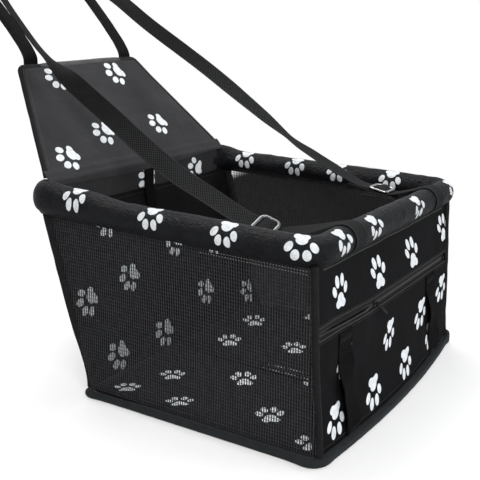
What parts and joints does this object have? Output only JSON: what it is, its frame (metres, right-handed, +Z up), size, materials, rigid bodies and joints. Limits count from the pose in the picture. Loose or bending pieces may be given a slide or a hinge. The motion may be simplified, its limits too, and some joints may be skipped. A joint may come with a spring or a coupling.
{
  "type": "dog car seat",
  "caption": "Folding dog booster seat for a car: soft box with mesh sides, tube rim, stiff flap, zipped pocket, inner tether, and two adjustable straps that hang it from a headrest.",
  "frame": {"origin": "middle of the underside of the base, on the surface the seat stands on", "axes": "+Z up, -Y towards the pocket at the front, +Y towards the flap and the car seat's back, +X to the right seen from the front"},
  "size_m": [0.4422, 0.6132, 0.5372],
  "materials": {
    "oxford_cloth": "black coated Oxford weave with printed white paw marks",
    "flap_cloth": "charcoal coated Oxford weave with printed white paw marks",
    "mesh_cloth": "black see-through net",
    "webbing": "woven black webbing",
    "binding_tape": "black ribbed tape",
    "board": "plain board",
    "pvc_tube": "smooth moulded",
    "zip_tape": "woven tape",
    "zip_coil": "nylon coil",
    "zip_metal": "black enamel",
    "adjuster_metal": "satin plated",
    "hook_metal": "plated"
  },
  "bodies": {
    "root": {"base_underside": "oxford_cloth", "base_board": "board", "floor_pad": "oxford_cloth", "base_hem": "binding_tape", "mesh_panel_left": "mesh_cloth", "mesh_panel_right": "mesh_cloth", "front_lining": "oxford_cloth", "front_upper_panel": "oxford_cloth", "pocket_panel": "oxford_cloth", "back_panel": "oxford_cloth", "corner_binding_front_left": "binding_tape", "corner_binding_front_right": "binding_tape", "corner_binding_back_left": "binding_tape", "corner_binding_back_right": "binding_tape", "pocket_strap_left": "webbing", "pocket_strap_right": "webbing", "tether_strap": "webbing", "tether_hook": "hook_metal", "hook_gate_pin": "hook_metal"},
    "rim": {"rim_tube_front": "pvc_tube", "rim_tube_left": "pvc_tube", "rim_tube_right": "pvc_tube", "rim_tube_back": "pvc_tube", "rim_elbow_front_left": "pvc_tube", "rim_elbow_front_right": "pvc_tube", "rim_elbow_back_left": "pvc_tube", "rim_elbow_back_right": "pvc_tube", "rim_sleeve_front": "oxford_cloth", "rim_sleeve_left": "oxford_cloth", "rim_sleeve_right": "oxford_cloth", "rim_sleeve_back": "oxford_cloth", "suspension_strap_left": "webbing", "suspension_strap_right": "webbing"},
    "flap": {"flap_front_cover": "flap_cloth", "flap_board": "board", "flap_back_cover": "flap_cloth", "flap_binding": "binding_tape"},
    "adjuster_left": {"adjuster_left": "adjuster_metal"},
    "adjuster_right": {"adjuster_right": "adjuster_metal"},
    "zip": {"zip_tape_upper": "zip_tape", "zip_tape_lower": "zip_tape", "zip_coil_upper": "zip_coil", "zip_coil_lower": "zip_coil", "zip_stop_left": "zip_metal", "zip_stop_right": "zip_metal"},
    "zip_slider": {"zip_slider": "zip_metal"},
    "zip_puller": {"zip_puller": "zip_metal"},
    "hook_gate": {"hook_gate": "hook_metal"}
  },
  "joints": [
    {"name": "rim_collapse", "type": "slide", "parent": "root", "child": "rim", "axis": [0, 0, 1], "range_m": [-0.15, 0], "deforming": ["mesh_panel_left", "mesh_panel_right", "front_lining", "front_upper_panel", "pocket_panel", "back_panel", "corner_binding_front_left", "corner_binding_front_right", "corner_binding_back_left", "corner_binding_back_right", "pocket_strap_left", "pocket_strap_right", "tether_strap"]},
    {"name": "flap_hinge", "type": "hinge", "parent": "rim", "child": "flap", "pos_m": [0, 0.214, 0.2572], "axis": [1, 0, 0], "range_deg": [0, 130], "deforming": ["suspension_strap_left", "suspension_strap_right"]},
    {"name": "adjuster_left_slide", "type": "slide", "parent": "rim", "child": "adjuster_left", "axis": [0, 0.9468, 0.3219], "range_m": [-0.04, 0.04]},
    {"name": "adjuster_right_slide", "type": "slide", "parent": "rim", "child": "adjuster_right", "axis": [0, 0.9806, 0.1961], "range_m": [-0.025, 0.045]},
    {"name": "zip_drop", "type": "slide", "parent": "root", "child": "zip", "axis": [0, 0, 1], "range_m": [-0.091, 0]},
    {"name": "zip_slide", "type": "slide", "parent": "zip", "child": "zip_slider", "axis": [1, 0, 0], "range_m": [-0.137, 0.233]},
    {"name": "puller_swing", "type": "hinge", "parent": "zip_slider", "child": "zip_puller", "pos_m": [-0.048, -0.15237, 0.12634], "axis": [-1, 0, 0], "range_deg": [0, 160]},
    {"name": "gate_hinge", "type": "hinge", "parent": "root", "child": "hook_gate", "pos_m": [-0.044, -0.0942, 0.0118], "axis": [0, 0, 1], "range_deg": [0, 28], "stiffness_Nm_per_rad": 0.02, "springref_deg": -11.46}
  ],
  "couplings": [
    {"joint": "zip_drop", "follows": "rim_collapse", "ratio": 0.6047}
  ]
}
